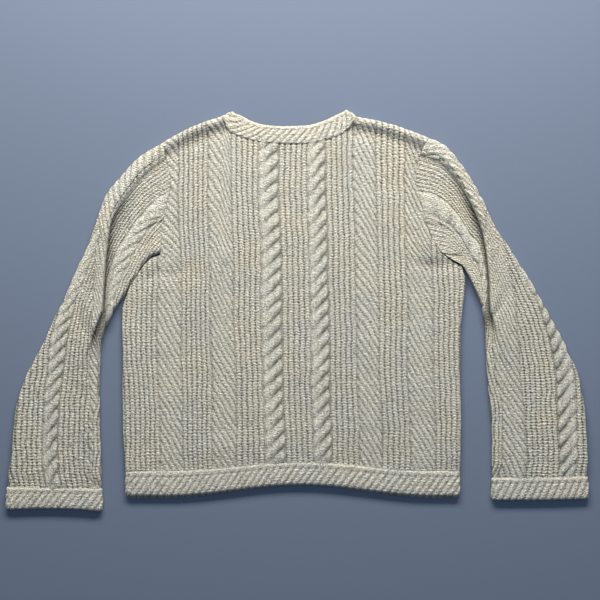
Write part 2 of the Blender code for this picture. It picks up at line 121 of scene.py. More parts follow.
RIGHT_SLEEVE = (
    (188, 248, 234, 69, 34, 24, 20, 5, 24),
    (208, 238, 239, 62, 23, 26, 32, 4, 26),
    (229, 215, 244, 52, 12, 26, 60, 2, 28),
    (249, 185, 250, 39, 5, 30, 115, 1, 34),
    (266, 154, 256, 26, 1, 38, 180, 5, 42),
    (283, 121, 262, 12, 0, 62, 180, 11, 64),
    (304, 89, 266, -6, 0, 82, 180, 6, 86),
    (316, 68, 267, -20, 0, 84, 115, 1, 90),
    (331, 45, 268, -36, 0, 86, 60, 2, 96),
    (357, -4, 270, -67, 0, 88, 25, 5, 104),
    (383, -51, 272, -100, 0, 92, 12, 5, 112),
    (403, -102, 275, -136, 0, 98, 10, 5, 118),
    (411, -167, 278, -181, 0, 104, 10, 5, 122),
    (414, -235, 277, -237, 0, 106, 10, 5, 126),
)
# How far the body's first points under a sleeve are dropped, to clear it.
ARMPIT_DROP = {"left": (0.0, 0.0, 0.0), "right": (3.0, 3.0, 0.5)}
# A fold's bend, its least room before the far edge, and how much wider a slack one bends.
FOLD_BEND, FOLD_CLEAR, SLACK_BEND = LAYER / 2, 12.0, 3.0
ARMHOLE_SHARES = (0, 0.01, 0.03, 0.07, 0.15, 0.24, 0.33, 0.42, 0.52, 0.63, 0.75, 0.86, 0.95, 1)
# Each armhole's shape: share along it, share of its bow.
ARMHOLE_BOW = {
    "left": ((0, 0), (0.24, 0.65), (0.38, 1), (0.48, 0.77), (0.65, 0.35), (0.85, 0.1), (1, 0)),
    "right": ((0, 0), (0.07, 0.4), (0.32, 1), (0.63, 1), (0.87, 0.74), (1, 0)),
}
# The soft swelling of a sleeve's long edges, how far in it reaches, and the length before
# the cuff over which it dies away.
EDGE_PUFF, PUFF_REACH, PUFF_FADE = 3.0, 18.0, 30.0
EDGE_TURN = WALL / 2 + (LAYER + EDGE_PUFF) / 2
BEND_POINTS, FACE_POINTS, BOTTOM_POINTS = 14, 90, 60  # points of a section's fine line
# Each cuff's depth and how far its lower edge is hollowed, and the flare at its ends.
LEFT_CUFF, RIGHT_CUFF, CUFF_FLARE = (31.0, 3.0), (30.0, -1.0), 1.5
TUCK = 3.0  # how far a band's sewn edge goes in under the piece it is sewn to
BAND_MESH, BAND_CELLS = 1.2, 20  # a band's mesh: step along it, and points across its face

# Soft swells and troughs of the back: x, y, half length, half width, turn, height; the deeper
# troughs are also painted in shade.
BACK_SWELLS = (
    (-236, -80, 150, 12, 88, 1.6), (224, -80, 150, 12, 91, 1.6), (-120, 60, 90, 34, 70, 1.2),
    (95, -60, 110, 36, 98, 1.1), (196, 96, 40, 14, 130, 2.2), (-40, -190, 80, 22, 4, 1.4),
    (-198, 40, 60, 9, 60, 1.5), (-176, 96, 46, 7, 74, -0.9), (168, 150, 60, 8, 100, -0.9),
    (150, -150, 60, 20, 84, 0.9), (-10, 120, 90, 26, 88, 0.8), (173, 216, 24, 11, 115, -1.7),
    (-190, 56, 30, 9, 10, -2.0), (-196, 34, 20, 12, 70, 1.2), (203, 68, 34, 8, 174, -2.8),
    (214, 36, 24, 14, 80, 2.0),
)

# Columns of the knitting on the body at its middle height: kind, left edge, wales.
BODY_COLUMNS = (
    ("rib", -254, 8), ("diagonal", -197, 4), ("rib", -163, 6), ("diagonal", -122, 4),
    ("rib", -88, 5), ("cable", -49.4, 4), ("rib", -19.6, 5), ("cable", 20, 4),
    ("rib", 47, 5), ("diagonal", 85.5, 4), ("rib", 118, 5), ("diagonal", 158, 4),
    ("rib", 195, 7), ("end", 247, 0),
)
BODY_LEAN = 0.02  # how far the columns lean to the left for each length up

# -------- curves


def monotone(knots, values, at):
    """Cubic through the values whose slopes are harmonic means, so it never overshoots."""
    knots, values, at = (np.asarray(a, float) for a in (knots, values, at))
    step = np.diff(knots)
    slope = np.diff(values) / step
    before, after = slope[:-1], slope[1:]
    same_way = before * after > 0
    mean = 2 * before * after / np.where(same_way, before + after, 1.0)
    tangent = np.concatenate([slope[:1], np.where(same_way, mean, 0.0), slope[-1:]])
    i = np.clip(np.searchsorted(knots, at) - 1, 0, len(step) - 1)
    t = (at - knots[i]) / step[i]
    return (
        values[i] * (1 + 2 * t) * (1 - t) ** 2
        + step[i] * tangent[i] * t * (1 - t) ** 2
        + values[i + 1] * t * t * (3 - 2 * t)
        - step[i] * tangent[i + 1] * t * t * (1 - t)
    )


def ease(t):
    """0 to 1 with level ends: 3t^2 - 2t^3."""
    t = np.clip(t, 0.0, 1.0)
    return t * t * (3 - 2 * t)


def bell(away, reach, middle=0.0):
    """A bell curve: e to the minus ((away - middle) / reach) squared."""
    return np.exp(-(((away - middle) / reach) ** 2))


def unit(vectors):
    """Rows of vectors brought to a length of one."""
    return vectors / np.linalg.norm(vectors, axis=1)[:, None]


def steps_of(points):
    """The length of each step along a line of points."""
    return np.linalg.norm(np.diff(points, axis=0), axis=1)


def distances(points):
    """How far along a line each of its points is."""
    return np.concatenate([[0.0], np.cumsum(steps_of(points))])


def along(points):
    """Distances along a line of points, from 0 at the first to 1 at the last."""
    return distances(points) / steps_of(points).sum()


def distance_to(points, line):
    """How far each point lies from a line of points."""
    best = np.full(points.shape[:-1], 1e9)
    for a, b in zip(line[:-1], line[1:]):
        run = b - a
        t = np.clip((points - a) @ run / (run @ run), 0, 1)
        best = np.minimum(best, np.linalg.norm(points - a - t[..., None] * run, axis=-1))
    return best


def resample(points, at, measured=slice(0, 2)):
    """Rows of a table at shares of the length of the line that two of its columns make."""
    points = np.asarray(points, float)
    knots = along(points[:, measured])
    return np.stack([monotone(knots, column, at) for column in points.T], axis=1)


def arch(x):
    """The hem's arch: a raised cosine, 1 at its middle and 0 where it ends."""
    away = np.clip(np.abs(x - ARCH_MIDDLE) / ARCH_REACH, 0, 1)
    return 0.5 * (1 + np.cos(math.pi * away))


def hem_seam(x):
    """Height of the seam between the body and the hem band."""
    return HEM_SEAM_Y + SEAM_ARCH * arch(x)


def wander(x, y, size, seed):
    """Slow unevenness of handwork: five sines along seeded directions, about -1 to 1."""
    draw = np.random.default_rng(seed)
    total = np.zeros(np.broadcast(x, y).shape)
    for turn, stretch, shift in zip(
        draw.uniform(0, math.tau, 5), draw.uniform(0.6, 1.7, 5), draw.uniform(0, math.tau, 5)
    ):
        run = (x * math.cos(turn) + y * math.sin(turn)) / (size * stretch)
        total = total + np.sin(math.tau * run + shift)
    return total / 3.2


# -------- knitting


def rib(w, t, fine=0.0):
    """Half-fisherman rib: round wales with deep gaps, each row a bead bent into a V.

    Pulled taut it turns fine: its gaps are crisp lines and its beads hardly show.
    """
    off = np.abs(w - np.floor(w) - 0.5) * 2
    bead = np.cos(math.tau * (t / ROW + 0.35 * off + 0.15))
    height = 1.6 * (1 - off**2.2) - 0.7 + 0.18 * (1 - fine) * bead
    # Painted shade in the gaps between wales, stronger when the rib is taut.
    return height, (0.30 + 0.26 * fine) * off**4, 1.0 - 0.35 * fine, w, 0.0


def cable(p, t, crisp):
    """Two-strand rope: lobes that climb to the right in an S, rounded across the rope.

    The lobe's phase is height less the S-shaped climb, and its swell is the root of a sine.
    Each side of the rope bulges once for every lobe that ends there. Felting makes it less
    crisp.
    """
    climb = 28.0 * (p - 0.05 * np.sin(math.tau * p))
    q = (t - climb) / CABLE_TURN
    lobe = np.abs(np.sin(math.pi * q)) ** 0.62
    reach = 0.78 + 0.21 * lobe
    across = np.clip(np.abs(2 * p - 1) / reach, 0, 1)
    round_off = np.sqrt(1 - across**2.4)
    under = ease((p - 0.1) * 1.8)
    height = 4.0 * round_off * (1 - (0.35 + 0.40 * under) * (1 - lobe) * crisp) - 1.4
    # Painted shade in the creases between lobes and along the rope's edges.
    crease = (1 - lobe) ** 1.2 * (0.10 + 0.85 * under) * (across < 0.96) * crisp
    edge = ease((across - 0.80) / 0.2) * (0.22 + 0.24 * ease(2 * p - 0.6)) * crisp
    return height, np.clip(crease + edge, 0, 0.9), 0.15, 3 * p, 0.8


def slanting(kind, p, s, t):
    """Slanting ridges that fall to the right: a wave of (across x steepness + height)."""
    steep, rise, tall, stitch = SLANTS[kind]
    q = (s * steep + t) / rise
    ridge = np.abs(np.sin(math.pi * q)) ** 0.75
    side = np.minimum(p, 1 - p)
    groove = bell(side, 0.06)
    height = tall * ridge * (1 - groove) - 0.5 * groove - 0.3
    # Painted shade in the troughs between ridges and in the grooves at the column's sides.
    hollow = 0.50 * (1 - ridge) ** 1.7 + 0.22 * groove
    return height, np.clip(hollow, 0, 1), stitch, q, 0.5


def knit(columns, s, t, crisp=1.0):
    """Height, hollow (how much shade is painted), stitch weight, wale count and smoothness of
    knitting at (s, t).

    columns are rows of kind, left edge and wales, each as wide as the next row's edge lets
    it be. A slanting column counts ridges in place of wales. A negative count stands for
    wales of one width, counted from the column's right edge, and none from its left one.
    Crisp is how sharp the lobes of a cable are.
    """
    shape = np.broadcast(s, t).shape
    s, t = np.broadcast_to(s, shape), np.broadcast_to(t, shape)
    found = np.zeros((5, *shape))
    for (kind, low, wales), (_, high, _) in zip(columns[:-1], columns[1:]):
        inside = (s >= low) & (s < high)
        if not inside.any():
            continue
        across, up = s[inside], t[inside]
        p = (across - low) / max(high - low, 0.5)
        if kind == "rib":
            even = (across - (high if wales < 0 else low)) / WALE
            part = rib(p * wales if wales > 0 else even, up)
        elif kind == "fine rib":
            part = rib(p * wales, up, 1.0)
        elif kind == "felted rib":
            tall, deep, *rest = rib(p * wales, up, 1.0)
            part = (0.45 * tall, 0.6 * deep, *rest)
        elif kind in ("cable", "felted cable"):
            part = cable(p, up, crisp if kind == "cable" else 0.4)
        else:
            part = slanting(kind, p, across - low, up)
        for row, values in zip(found, part):
            row[inside] = values
    return found


def rope(s, t, depth, steep):
    """Rope ridges of a band that climb to the right, with a smooth chain along its edge.

    s runs along the band and t across it, from the sewn edge at 0 to the free one at depth.
    Steep is how far a ridge rises for each length it goes along.
    """
    q = (s - t / steep) / ROPE_PITCH
    ridge = np.abs(np.sin(math.pi * q)) ** 0.6
    share = t / depth
    chain, groove = bell(share, 0.09, 0.9), bell(share, 0.05, 0.77)
    body = 1.8 * ridge * (1 - chain) * (1 - 0.6 * groove) + 1.3 * chain
    # Painted shade between the ridges and in the groove beside the chain.
    hollow = 0.88 * (1 - ridge) ** 2.1 * (1 - chain) + 0.25 * groove
    return body - 1.0, np.clip(hollow, 0, 1), 0.22 * (1 - chain), q


# -------- meshes


def mesh_of(name, verts, quads, rings, knit_uv, lay):
    """A mesh from points, four-sided faces and many-sided ones, with its knit coordinates.

    knit_uv holds wales and rows, and lay holds stitch weight, hollow (how much shade is painted)
    and smoothness.
    """
    loops = np.concatenate([quads.ravel(), *rings]).astype(np.int32)
    sizes = np.concatenate([np.full(len(quads), 4), [len(r) for r in rings]]).astype(np.int32)
    starts = np.concatenate([[0], np.cumsum(sizes)[:-1]]).astype(np.int32)
    mesh = bpy.data.meshes.new(name)
    mesh.vertices.add(len(verts))
    mesh.vertices.foreach_set("co", (np.asarray(verts) * MM).astype(np.float32).ravel())
    mesh.loops.add(len(loops))
    mesh.loops.foreach_set("vertex_index", loops)
    mesh.polygons.add(len(sizes))
    mesh.polygons.foreach_set("loop_start", starts)
    mesh.polygons.foreach_set("loop_total", sizes)
    mesh.update(calc_edges=True)
    uv = mesh.uv_layers.new(name="knit")
    uv.data.foreach_set("uv", knit_uv[loops].astype(np.float32).ravel())
    colour = mesh.attributes.new("lay", "FLOAT_COLOR", "POINT")
    rgba = np.concatenate([lay, np.ones((len(lay), 1))], axis=1)
    colour.data.foreach_set("color", rgba.astype(np.float32).ravel())
    mesh.validate()
    mesh.shade_smooth()
    thing = bpy.data.objects.new(name, mesh)
    bpy.context.scene.collection.objects.link(thing)
    return thing


def grid_faces(rows, columns, wrap=False):
    """Indices of the quads of a grid, its columns joined round when wrap is set."""
    i = np.arange(rows - 1)[:, None]
    j = np.arange(columns if wrap else columns - 1)[None, :]
    k = (j + 1) % columns
    a, b = i * columns + j, i * columns + k
    return np.stack([a, b, b + columns, a + columns], axis=-1).reshape(-1, 4)


# -------- sleeves


def section_line(section, share, side):
    """Plan points across a section, bent towards the body by its bow.

    The bend blends from the armhole's own shape to a half sine as the bow dies away.
    """
    outer = np.array([section["outer_x"], section["outer_y"]])
    inner = np.array([section["inner_x"], section["inner_y"]])
    chord = inner - outer
    across = chord / np.linalg.norm(chord)
    to_body = np.array([-across[1], across[0]]) * WAY[side]
    knots, bows = np.array(ARMHOLE_BOW[side], float).T
    bends = monotone(knots, bows, ARMHOLE_SHARES)
    like_hole = (section["bow"] / section["first_bow"]) ** 3
    even = np.sin(math.pi * np.array(ARMHOLE_SHARES))
    bends = bends * like_hole + even * (1 - like_hole)
    bend = section["bow"] * np.interp(share, ARMHOLE_SHARES, bends)
    return outer + np.outer(share, chord) + np.outer(bend, to_body)


def ring_path(width, fold_at, fold_turn, fold_flat, puffed):
    """Fine middle line of the wall round one section, as (distance across, height).

    Two equal bends of opposite sense, with a straight run between them, carry the cloth round
    the fold's lip and on from its foot. Half circles close the long edges, which puff by bell
    curves, and puffed is the share of that puff that is left. Also gives how much relief
    shows at each point, none inside the fold, and where the lip, foot and upper face are.
    """
    low, top = WALL / 2, WALL / 2 + LAYER
    most = EDGE_PUFF * puffed
    half = (LAYER + most) / 2
    start, stop = EDGE_TURN, width - EDGE_TURN

    def puff(a):
        ends = bell(a, PUFF_REACH, start) + bell(a, PUFF_REACH, stop)
        return most * np.clip(ends, 0, 1)

    angle = math.radians(fold_turn)
    bend = FOLD_BEND * (1 + SLACK_BEND * max(0, 1 - fold_turn / 90))
    steps = np.linspace(0, angle, BEND_POINTS)
    first = bend * np.column_stack([np.sin(steps), np.cos(steps) - 1])
    level = first[-1] + fold_flat * np.array([math.cos(angle), -math.sin(angle)])
    back = steps[::-1]
    second = level + bend * np.column_stack(
        [math.sin(angle) - np.sin(back), math.cos(angle) - np.cos(back)]
    )
    fold = np.concatenate([first, second])
    lip = min(fold_at - bend, stop - FOLD_CLEAR - max(fold[-1, 0], bend))
    foot = lip + fold[-1, 0]
    base = float(puff(max(lip, foot)))
    rise = base - fold[-1, 1] - float(puff(lip))
    fold = fold + np.array([lip, top + float(puff(lip)) + rise])
    turn = np.linspace(0, math.pi, BEND_POINTS)[1:-1]
    edge = low + half
    outer_turn = np.column_stack([start - half * np.sin(turn), edge - half * np.cos(turn)])
    level_from = min(lip, foot) - 3
    a = np.linspace(start, lip, FACE_POINTS)[:-1]
    bulk = np.where(a > level_from, puff(lip), puff(a))
    bulk = bulk + rise * ease((a - start) / (level_from - start))
    flap = np.column_stack([a, top + bulk])
    a = np.linspace(foot, stop, FACE_POINTS)[1:]
    inner_top = np.column_stack([a, top + np.maximum(puff(a), base)])
    inner_turn = np.column_stack([stop + half * np.sin(turn), edge + half * np.cos(turn)])
    a = np.linspace(stop, start, BOTTOM_POINTS)
    bottom = np.column_stack([a, np.full(len(a), low)])
    folded = ease((fold_turn - 60) / 60)
    inside = np.clip((lip + 3 - inner_top[:, 0]) / 3, 0, 1) * folded
    tucked = np.linspace(0, 1, len(first))[::-1]
    shown = np.concatenate([
        np.ones(len(outer_turn) + len(flap)),
        1 - folded * (1 - tucked), np.full(len(second), 1 - folded),
        1 - inside, np.ones(len(inner_turn)), np.full(len(bottom), 0.35),
    ])
    path = np.concatenate([outer_turn, flap, fold, inner_top, inner_turn, bottom])
    marks = {
        "lip": lip, "foot": len(outer_turn) + len(flap) + len(fold),
        "top_end": len(path) - len(bottom) - len(inner_turn) // 2,
    }
    return path, shown, marks


# Places beyond a sleeve's edge, and how narrow the layer over the fold is without its cable.
OFF_EDGE, FAR_OFF, FLAP_KNIT, CABLE_WIDTH = -8.0, -20.0, 44.0, 24.0
# Lines between the knitting's columns outside a sleeve's fold, from its top to its cuff: x, y.
KNIT_LINES = {
    "left": {
        "cable_out": (
            (-278, 125), (-291, 103), (-305, 75), (-321, 46), (-333, 18), (-349, -39),
            (-352, -68), (-358, -124), (-361, -181), (-359, -260),
        ),
        "cable_in": (
            (-270, 125), (-279, 103), (-290, 75), (-301, 46), (-312, 18), (-324, -39),
            (-328, -68), (-335, -124), (-338, -181), (-336, -260),
        ),
        "slant_out": (
            (-215, 230), (-240, 196), (-270, 165), (-283, 130), (-285, 75), (-287, 18),
            (-290, -39), (-292, -68), (-292, -124), (-293, -181), (-294, -260),
        ),
        "slant_in": (
            (-200, 225), (-222, 190), (-245, 160), (-262, 130), (-268, 75), (-272, 18),
            (-276, -39), (-278, -68), (-279, -124), (-280, -181), (-279, -260),
        ),
    },
    "right": {
        "cable_out": (
            (300, 125), (318, 92), (335, 60), (349, 40), (364, 18), (377, -25), (388, -68),
            (394, -96), (396, -153), (399, -250),
        ),
        "cable_in": (
            (286, 125), (300, 92), (316, 60), (326, 40), (338, 18), (353, -25), (363, -68),
            (366, -96), (368, -153), (374, -250),
        ),
        "slant_out": (
            (215, 235), (250, 200), (278, 150), (292, 110), (302, 60), (310, 18), (313, -39),
            (317, -96), (323, -153), (328, -250),
        ),
        "slant_in": (
            (198, 225), (228, 195), (252, 160), (262, 110), (266, 60), (270, 18), (275, -39),
            (280, -96), (283, -153), (289, -250),
        ),
    },
}
# Columns inside the fold: kind, wales and left edge from the fold, at three shares of length.
INSIDE_SHARES = (0.0, 0.35, 1.0)
INSIDE_KNIT = {
    "left": (("fine rib", 8, (0, 0, 0)), ("felted cable", 4, (44, 40, 40)),
             ("fine rib", 7, (76, 72, 70)), ("end", 0, (128, 110, 110))),
    "right": (("fine rib", 8, (0, 0, 0)), ("felted cable", 4, (46, 42, 40)),
              ("felted rib", 9, (80, 74, 70)), ("end", 0, (150, 120, 110))),
}
FOLD_SHADE, SHADE_REACH = 0.68, 19.0  # how dark the painted shade is on the cloth inside a fold, and how far in it reaches
# How narrow a fold's upper layer is where it starts to swell, and by how much.
FLAP_WIDTH, FLAP_PLUMP = 46.0, 1.8
# How far the armhole's seam quiets the relief, and how deep the fold's start dips there, a dip
# also painted in shade.
SEAM_REACH, SEAM_DIP = 22.0, 2.0
# A sleeve's cables are felted at its top: how crisp they are, and the shares of its length
# where they start to turn crisp and over which they do.
SOFT_CABLE, CRISP_FROM, CRISP_OVER = 0.2, 0.38, 0.16
# Small sharp creases in the upper sleeves, each also painted in shade: x, y of each end, and
# depth.
CREASES = (
    (183, 127, 205, 124, 1.0), (201, 138, 205, 124, 0.8), (205, 124, 218, 116, 0.8),
    (219, 135, 214, 118, 0.5), (206, 83, 234, 81, 1.2), (212, 76, 240, 88, 0.6),
    (-210, 122, -188, 131, 1.2), (-188, 131, -184, 165, 0.6), (-226, 112, -210, 122, 0.6),
    (-218, 96, -205, 108, 0.6), (-262, 60, -240, 78, 0.7),
)
CREASE_WIDTH = 1.3
EDGE_CLOTH = 3.7  # cloth round a sleeve's long edge before its first column
TOP_CELLS, LOW_CELLS = 128, 24
INNER_EVERY, LINING_EVERY = 4, 12  # the plain inside has one cell for so many, and one ring


def crossing(across, plan, line):
    """How far along a section it crosses a line, or below 0 where it starts beyond it."""
    line = np.array(sorted(line, key=lambda point: point[1]), float)
    beyond = plan[:, 0] - np.interp(plan[:, 1], line[:, 1], line[:, 0])
    beyond = beyond * np.sign(plan[-1, 0] - plan[0, 0])
    after = np.flatnonzero(beyond > 0)
    if len(after) == 0:
        return across[-1]
    if after[0] == 0:
        return -1.0
    i = after[0]
    share = -beyond[i - 1] / (beyond[i] - beyond[i - 1])
    return across[i - 1] + share * (across[i] - across[i - 1])


def sleeve_columns(side, share, knit_at, across, plan):
    """The columns at one section of a sleeve, as (kind, left edge, wales)."""
    lines = {name: crossing(across, plan, line) for name, line in KNIT_LINES[side].items()}
    cable_in = min(lines["cable_in"], knit_at)
    cable_out = lines["cable_out"]
    cable_out = cable_in - CABLE_WIDTH if cable_out < 0 else min(cable_out, cable_in)
    slant_out = max(min(lines["slant_out"], knit_at), cable_in, OFF_EDGE)
    slant_in = max(min(lines["slant_in"], knit_at), slant_out)
    slant = "diagonal"
    if knit_at < FLAP_KNIT:
        slant = f"{side}_flap"
        slant_out, slant_in = OFF_EDGE, knit_at - 1
        cable_out = cable_in = OFF_EDGE
    found = [("rib", FAR_OFF, -1), ("cable", cable_out, 4), ("rib", cable_in, 0),
             (slant, slant_out, 3), ("rib", slant_in, 0)]
    for kind, wales, edges in INSIDE_KNIT[side]:
        found.append((kind, knit_at + np.interp(share, INSIDE_SHARES, edges), wales))
    return found


def ring_normals(path):
    """Unit vectors square to a closed line, each from the mean of the runs beside its point."""
    run = np.roll(path, -1, axis=0) - path
    run /= np.linalg.norm(run, axis=1)[:, None] + 1e-9
    run = run + np.roll(run, 1, axis=0)
    run /= np.linalg.norm(run, axis=1)[:, None] + 1e-9
    return np.column_stack([-run[:, 1], run[:, 0]])


def sleeve_knit(side, section, width, share, from_top, s, t):
    """Knitting on one ring of a sleeve, quieter at both its ends and near the fold's lip."""
    across = np.linspace(0, width, 60)
    plan = section_line(section, across / width, side)
    columns = sleeve_columns(side, share, section["knit_at"], across, plan)
    crisp = SOFT_CABLE + (1 - SOFT_CABLE) * ease((share - CRISP_FROM) / CRISP_OVER)
    height, hollow, stitch, wale, smooth = knit(columns, s, t, crisp)
    flap = ease((FLAP_WIDTH - section["knit_at"]) / 6) * ease(share / 0.05)
    swell = FLAP_PLUMP * flap * np.sin(math.pi * np.clip(s / section["knit_at"], 0, 1))
    at_seam = bell(from_top, SEAM_REACH)
    dip = at_seam * bell(s, 9, 22)
    height = height * (1 - flap * bell(s, 5, section["knit_at"])) * (1 - 0.6 * at_seam)
    height = height * (0.3 + 0.7 * ease(np.abs(t) / RELIEF_FADE)) - SEAM_DIP * dip + swell
    folded = ease(section["fold_turn"] / 60)
    stitch = stitch * (1 - 0.8 * folded * bell(s, 6, section["knit_at"]))
    # The dip at the armhole's seam is also painted in shade.
    return height, hollow + 0.22 * dip, stitch, wale, smooth


def crease_depth(plan):
    """Depth of the sharp creases: the sum of a bell curve across each."""
    total = np.zeros(len(plan))
    for x0, y0, x1, y1, depth in CREASES:
        away = distance_to(plan, np.array([[x0, y0], [x1, y1]], float))
        total += depth * bell(away, CREASE_WIDTH)
    return total


def make_sleeve(name, rows, side, sections):
    """A sleeve's shell: rings of outer points with relief, and a plain inner face.

    Each ring is the section's middle line moved out along its normals, then bent to the
    section's line in plan. Stitches are counted from the cuff up both edges, and blended
    across.
    """
    rows = np.asarray(rows, float)
    middle = (rows[:, 0:2] + rows[:, 2:4]) / 2
    length = steps_of(middle).sum()
    at = np.linspace(0, 1, sections)
    table = {c: monotone(along(middle), rows[:, k], at) for k, c in enumerate(SLEEVE_COLUMNS)}
    to_cuff = []
    for edge in ("outer", "inner"):
        steps = np.hypot(np.diff(table[f"{edge}_x"]), np.diff(table[f"{edge}_y"]))
        to_cuff.append(np.concatenate([np.cumsum(steps[::-1])[::-1], [0.0]]))
    outer, inner, uv, lay = [], [], [], []
    for i, share in enumerate(at):
        section = {column: float(values[i]) for column, values in table.items()}
        section["first_bow"] = rows[0, 4]
        run_x, run_y = (section[f"inner_{a}"] - section[f"outer_{a}"] for a in "xy")
        width = math.hypot(run_x, run_y)
        fold = (section[part] for part in ("fold_at", "fold_turn", "fold_flat"))
        path, shown, marks = ring_path(width, *fold, float(ease(to_cuff[0][i] / PUFF_FADE)))
        cloth = distances(path)
        top_end = cloth[marks["top_end"]]
        sample = np.concatenate([
            np.linspace(0, top_end, TOP_CELLS, endpoint=False),
            np.linspace(top_end, cloth[-1], LOW_CELLS, endpoint=False),
        ])
        fine = np.column_stack([path, ring_normals(path), shown]).T
        fine = np.column_stack([np.interp(sample, cloth, values) for values in fine])
        base, normal, seen = fine[:, 0:2], unit(fine[:, 2:4]), fine[:, 4]

        a, from_top = np.clip(base[:, 0] / width, 0, 1), share * length
        t = (to_cuff[0][i] * (1 - a) + to_cuff[1][i] * a) * WAY[side]
        t = t + 0.9 * wander(sample, from_top, 26.0, 15)
        s = sample - EDGE_CLOTH + 0.8 * wander(sample, from_top, 31.0, 17)
        knitting = sleeve_knit(side, section, width, share, from_top, s, t)
        height, hollow, stitch, wale, smooth = knitting
        # Painted shade on the cloth just inside the fold, past its foot, and in the sharp creases.
        shade = bell(np.maximum(base[:, 0] - marks["lip"], 0), SHADE_REACH)
        shade = shade * (sample > cloth[marks["foot"]]) * ease((section["fold_turn"] - 10) / 110)

        face = base + normal * (WALL / 2 + height * seen - 0.25)[:, None]
        face[:, 1] = np.maximum(face[:, 1], 0.0)
        plan = section_line(section, face[:, 0] / width, side)
        crease = crease_depth(plan) * seen
        z = face[:, 1] - normal[:, 1] * 1.1 * crease * (face[:, 1] > LAYER)
        hollow = np.clip(hollow + FOLD_SHADE * shade + 0.4 * crease, 0, 1)
        plan[:, 0] += 0.5 * wander(sample, from_top, 60.0, 5) * seen
        outer.append(np.column_stack([plan, z]))
        lining = base[::INNER_EVERY] - normal[::INNER_EVERY] * (WALL / 2)
        plan = section_line(section, lining[:, 0] / width, side)
        inner.append(np.column_stack([plan, lining[:, 1]]))
        uv.append(np.column_stack([wale, t / ROW]))
        # Cloth that does not show, inside the fold and on the bottom face, is painted in shade.
        lay.append(np.column_stack([stitch, np.maximum(hollow * seen, 1 - seen), smooth]))

    outer, inner = np.array(outer), np.array(inner)[::LINING_EVERY]
    cells, around = outer.shape[1], inner.shape[1]
    base, column = sections * cells, np.arange(around)
    faces = grid_faces(sections, cells, wrap=True)
    lining = grid_faces(len(inner), around, wrap=True)[:, ::-1] + base
    rims = []
    for end, ring, way in ((0, 0, -1), (sections - 1, len(inner) - 1, 1)):
        edge = (column[:, None] * INNER_EVERY + np.arange(INNER_EVERY + 1)) % cells
        plain = base + ring * around + np.column_stack([(column + 1) % around, column])
        rims.extend(np.column_stack([edge + end * cells, plain])[:, ::way])
    count = len(inner) * around
    uv = np.concatenate([np.concatenate(uv), np.zeros((count, 2))])
    # The plain inner face is painted in shade.
    lay = np.concatenate([np.concatenate(lay), np.tile([0.0, 0.6, 0.0], (count, 1))])
    verts = np.concatenate([outer.reshape(-1, 3), inner.reshape(-1, 3)])
    return mesh_of(name, verts, np.concatenate([faces, lining]), rims, uv, lay)


# -------- body


def moved_in(line, way):
    """A line of points moved a seam's width to its right, or with way -1 to its left."""
    run = unit(np.gradient(line, axis=0))
    return line + np.column_stack([run[:, 1], -run[:, 0]]) * SEAM * way


def armhole(rows, side):
    """The body's armhole, from the armpit up, along the end of its sleeve."""
    section = dict(zip(SLEEVE_COLUMNS, map(float, rows[0])), first_bow=rows[0][4])
    line = section_line(section, np.array(ARMHOLE_SHARES)[::-1], side)
    line = moved_in(line, WAY[side])
    line[:3, 1] -= np.array(ARMPIT_DROP[side])
    return line


def body_edges(neck):
    """A body panel's left and right edges from the hem up, and its bottom and top ones.

    Each shoulder runs on past the neck's end, to meet the end of the neckband's loop.
    """
    sides = []
    for low, rows, side in ((LEFT_SIDE, LEFT_SLEEVE, "left"), (RIGHT_SIDE, RIGHT_SLEEVE, "right")):
        low = np.array([(x, max(y, hem_seam(x) + SEAM)) for x, y in low], float)
        low = resample(low, SIDE_SHARES)
        sides.append((low, armhole(rows, side)))
    run = neck[[0, -1], 2:4] - neck[[0, -1], 0:2]
    beyond = unit(np.column_stack([run[:, 1], -run[:, 0]]))
    beyond *= np.array([[1], [-1]]) * (BAND_WALL - SEAM / 2)
    neck = moved_in(neck[:, 2:4], 1)
    corners = neck[[0, -1]] + beyond
    share = np.array(SHOULDER_SHARES)[:, None]
    crown = np.array([0.0, SHOULDER_CROWN]) * np.sin(math.pi * share)
    left, right = (
        hole[-1] * (1 - share) + corner * share + crown
        for (_, hole), corner in zip(sides, corners)
    )
    top = np.concatenate([left, neck, right[::-1]])
    left, right = (np.concatenate(side) for side in sides)
    x = left[0, 0] + (right[0, 0] - left[0, 0]) * along(top)
    bottom = np.column_stack([x, hem_seam(x) + SEAM])
    return left, right, bottom, top


def finely(line, knots, at):
    """A coarse line of points read at fine shares, straight between its points."""
    return np.column_stack([np.interp(at, knots, line[:, k]) for k in (0, 1)])


def swells(x, y):
    """The sum of the back's swells, each a bell curve along and across its own direction."""
    total = np.zeros_like(x)
    for at_x, at_y, half_long, half_wide, turn, height in BACK_SWELLS:
        c, n = math.cos(math.radians(turn)), math.sin(math.radians(turn))
        dx, dy = x - at_x, y - at_y
        long, wide = (dx * c + dy * n) / half_long, (dy * c - dx * n) / half_wide
        total += height * bell(long, 1) * bell(wide, 1)
    return total


